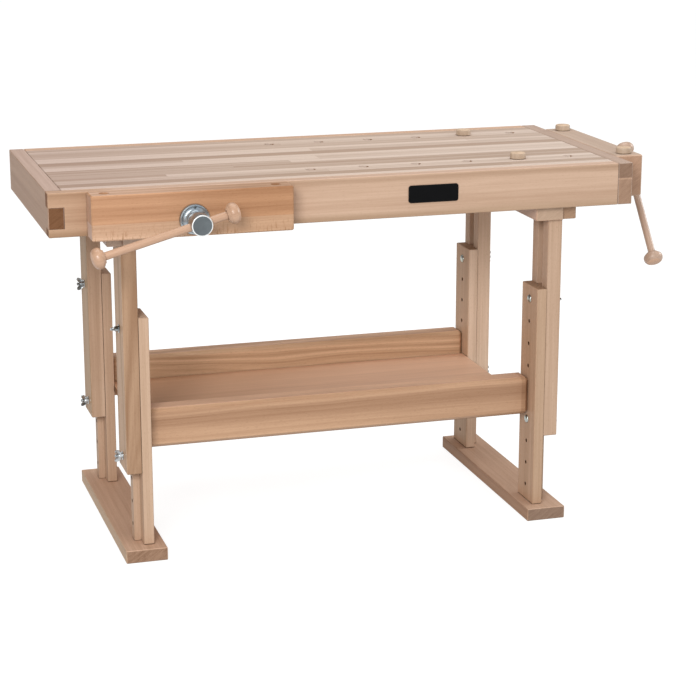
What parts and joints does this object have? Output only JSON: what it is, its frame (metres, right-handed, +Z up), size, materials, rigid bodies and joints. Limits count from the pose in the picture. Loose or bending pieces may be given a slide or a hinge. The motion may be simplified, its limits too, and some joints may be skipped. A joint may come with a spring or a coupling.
{
  "type": "height-adjustable joinery workbench",
  "caption": "Beech joinery bench with a front vise, an end vise, bench dogs, sliding trestle legs set in height by wing-nut bolts, and a low shelf between stretchers.",
  "frame": {"origin": "on the floor, under the middle of the bench's overall box", "axes": "+X along the top towards the end vise, +Y from the front vise to the back, +Z up"},
  "size_m": [1.5642, 0.7702, 0.897],
  "materials": {
    "beech_top": "oiled, strips along the top",
    "beech_apron": "oiled",
    "beech_jaw": "oiled, laminated",
    "beech_leg": "oiled",
    "beech_turned": "turned and oiled",
    "zinc_steel": "zinc plated",
    "black_plate": "satin black, blank"
  },
  "bodies": {
    "base": {"left_foot": "beech_leg", "right_foot": "beech_leg", "left_front_lower_post": "beech_leg", "left_back_lower_post": "beech_leg", "right_front_lower_post": "beech_leg", "right_back_lower_post": "beech_leg", "front_stretcher": "beech_leg", "back_stretcher": "beech_leg", "shelf": "beech_top", "front_shelf_cleat": "beech_leg", "back_shelf_cleat": "beech_leg", "left_front_upper_bolt": "zinc_steel", "left_front_lower_bolt": "zinc_steel", "left_back_upper_bolt": "zinc_steel", "left_back_lower_bolt": "zinc_steel", "right_front_upper_bolt": "zinc_steel", "right_front_lower_bolt": "zinc_steel", "right_back_upper_bolt": "zinc_steel", "right_back_lower_bolt": "zinc_steel"},
    "top": {"top_slab": "beech_top", "front_apron": "beech_apron", "back_rail": "beech_apron", "left_end_cap": "beech_apron", "right_end_cap": "beech_apron", "name_plate": "black_plate", "left_head_rail": "beech_leg", "right_head_rail": "beech_leg", "left_front_upper_post": "beech_leg", "left_back_upper_post": "beech_leg", "right_front_upper_post": "beech_leg", "right_back_upper_post": "beech_leg", "front_vise_nut": "beech_leg", "end_vise_nut": "beech_leg"},
    "front_jaw": {"front_vise_jaw": "beech_jaw", "front_vise_flange": "zinc_steel", "front_vise_left_guide": "zinc_steel", "front_vise_right_guide": "zinc_steel"},
    "front_screw": {"front_vise_screw": "zinc_steel"},
    "front_handle": {"front_vise_handle": "beech_turned", "front_vise_end_knob": "beech_turned"},
    "end_jaw": {"end_vise_jaw": "beech_jaw", "end_vise_flange": "zinc_steel", "end_vise_left_guide": "zinc_steel", "end_vise_right_guide": "zinc_steel"},
    "end_screw": {"end_vise_screw": "zinc_steel"},
    "end_handle": {"end_vise_handle": "beech_turned", "end_vise_end_knob": "beech_turned"},
    "top_front_dog": {"top_front_dog": "beech_turned"},
    "top_back_dog": {"top_back_dog": "beech_turned"},
    "jaw_front_dog": {"jaw_front_dog": "beech_turned"},
    "jaw_back_dog": {"jaw_back_dog": "beech_turned"},
    "left_front_upper_nut": {"left_front_upper_wing_nut": "zinc_steel"},
    "left_front_lower_nut": {"left_front_lower_wing_nut": "zinc_steel"},
    "left_back_upper_nut": {"left_back_upper_wing_nut": "zinc_steel"},
    "left_back_lower_nut": {"left_back_lower_wing_nut": "zinc_steel"},
    "right_front_upper_nut": {"right_front_upper_wing_nut": "zinc_steel"},
    "right_front_lower_nut": {"right_front_lower_wing_nut": "zinc_steel"},
    "right_back_upper_nut": {"right_back_upper_wing_nut": "zinc_steel"},
    "right_back_lower_nut": {"right_back_lower_wing_nut": "zinc_steel"}
  },
  "joints": [
    {"name": "height_slide", "type": "slide", "parent": "base", "child": "top", "axis": [0, 0, 1], "range_m": [-0.1695, 0]},
    {"name": "front_jaw_slide", "type": "slide", "parent": "top", "child": "front_jaw", "axis": [0, -1, 0], "range_m": [0, 0.15]},
    {"name": "front_screw_turn", "type": "hinge", "parent": "front_jaw", "child": "front_screw", "pos_m": [-0.46715, -0.30115, 0.819], "axis": [0, -1, 0], "range_deg": [0, 9000]},
    {"name": "front_handle_slide", "type": "slide", "parent": "front_screw", "child": "front_handle", "axis": [0.9641, 0, 0.2656], "range_m": [-0.0385, 0.1973]},
    {"name": "end_jaw_slide", "type": "slide", "parent": "top", "child": "end_jaw", "axis": [1, 0, 0], "range_m": [0, 0.15]},
    {"name": "end_screw_turn", "type": "hinge", "parent": "end_jaw", "child": "end_screw", "pos_m": [0.69015, 0.08465, 0.819], "axis": [1, 0, 0], "range_deg": [0, 9000]},
    {"name": "end_handle_slide", "type": "slide", "parent": "end_screw", "child": "end_handle", "axis": [0, 0.6157, 0.788], "range_m": [-0.0045, 0.2313]},
    {"name": "top_front_dog_lift", "type": "slide", "parent": "top", "child": "top_front_dog", "axis": [0, 0, 1], "range_m": [0, 0.085]},
    {"name": "top_back_dog_lift", "type": "slide", "parent": "top", "child": "top_back_dog", "axis": [0, 0, 1], "range_m": [0, 0.085]},
    {"name": "jaw_front_dog_lift", "type": "slide", "parent": "end_jaw", "child": "jaw_front_dog", "axis": [0, 0, 1], "range_m": [0, 0.085]},
    {"name": "jaw_back_dog_lift", "type": "slide", "parent": "end_jaw", "child": "jaw_back_dog", "axis": [0, 0, 1], "range_m": [0, 0.085]},
    {"name": "left_front_upper_nut_turn", "type": "hinge", "parent": "top", "child": "left_front_upper_nut", "pos_m": [-0.61795, -0.16035, 0.5452], "axis": [-1, 0, 0], "continuous": true},
    {"name": "left_front_lower_nut_turn", "type": "hinge", "parent": "top", "child": "left_front_lower_nut", "pos_m": [-0.61795, -0.16035, 0.2395], "axis": [-1, 0, 0], "continuous": true},
    {"name": "left_back_upper_nut_turn", "type": "hinge", "parent": "top", "child": "left_back_upper_nut", "pos_m": [-0.61795, 0.31465, 0.5452], "axis": [-1, 0, 0], "continuous": true},
    {"name": "left_back_lower_nut_turn", "type": "hinge", "parent": "top", "child": "left_back_lower_nut", "pos_m": [-0.61795, 0.31465, 0.2395], "axis": [-1, 0, 0], "continuous": true},
    {"name": "right_front_upper_nut_turn", "type": "hinge", "parent": "top", "child": "right_front_upper_nut", "pos_m": [0.45365, -0.16035, 0.5452], "axis": [1, 0, 0], "continuous": true},
    {"name": "right_front_lower_nut_turn", "type": "hinge", "parent": "top", "child": "right_front_lower_nut", "pos_m": [0.45365, -0.16035, 0.2395], "axis": [1, 0, 0], "continuous": true},
    {"name": "right_back_upper_nut_turn", "type": "hinge", "parent": "top", "child": "right_back_upper_nut", "pos_m": [0.45365, 0.31465, 0.5452], "axis": [1, 0, 0], "continuous": true},
    {"name": "right_back_lower_nut_turn", "type": "hinge", "parent": "top", "child": "right_back_lower_nut", "pos_m": [0.45365, 0.31465, 0.2395], "axis": [1, 0, 0], "continuous": true}
  ],
  "couplings": [
    {"joint": "front_jaw_slide", "follows": "front_screw_turn", "m_per_rad": 0.0009549},
    {"joint": "end_jaw_slide", "follows": "end_screw_turn", "m_per_rad": 0.0009549}
  ]
}
